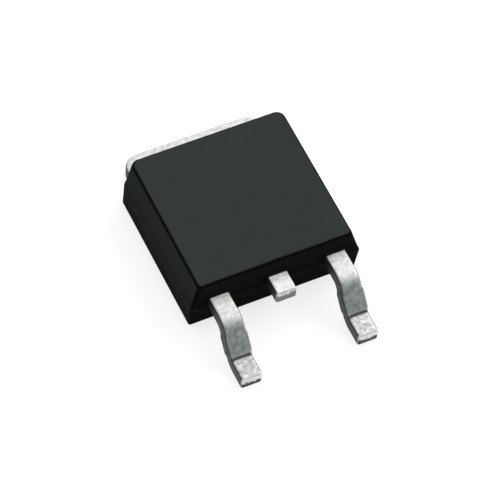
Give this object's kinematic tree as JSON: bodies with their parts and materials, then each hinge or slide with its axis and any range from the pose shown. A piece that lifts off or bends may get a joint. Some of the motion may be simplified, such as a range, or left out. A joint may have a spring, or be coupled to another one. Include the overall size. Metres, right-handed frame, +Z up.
{
  "type": "surface-mount mosfet",
  "caption": "Three-terminal power transistor in a flat black moulded body with a wide solder tab behind, two bent feet in front and a cut-off centre lead.",
  "frame": {"origin": "centre of the whole footprint, leads and tab included, on the seating plane", "axes": "+Z up out of the board, +Y from the leads towards the tab, +X to the right seen from above with the leads towards the viewer: gate lead on -X, source lead on +X"},
  "size_m": [0.0066, 0.0104, 0.0023],
  "materials": {
    "moulding_compound": "fine satin moulded epoxy",
    "tinned_copper": "matt tin plating",
    "silicon": "polished",
    "solder": "dull",
    "aluminium_wire": "bright drawn"
  },
  "bodies": {
    "root": {"mould_body": "moulding_compound", "drain_tab": "tinned_copper", "gate_lead": "tinned_copper", "source_lead": "tinned_copper", "silicon_die": "silicon", "die_attach": "solder", "gate_bond_wire": "aluminium_wire", "source_bond_wire_1": "aluminium_wire", "source_bond_wire_2": "aluminium_wire", "source_bond_wire_3": "aluminium_wire"}
  },
  "joints": []
}
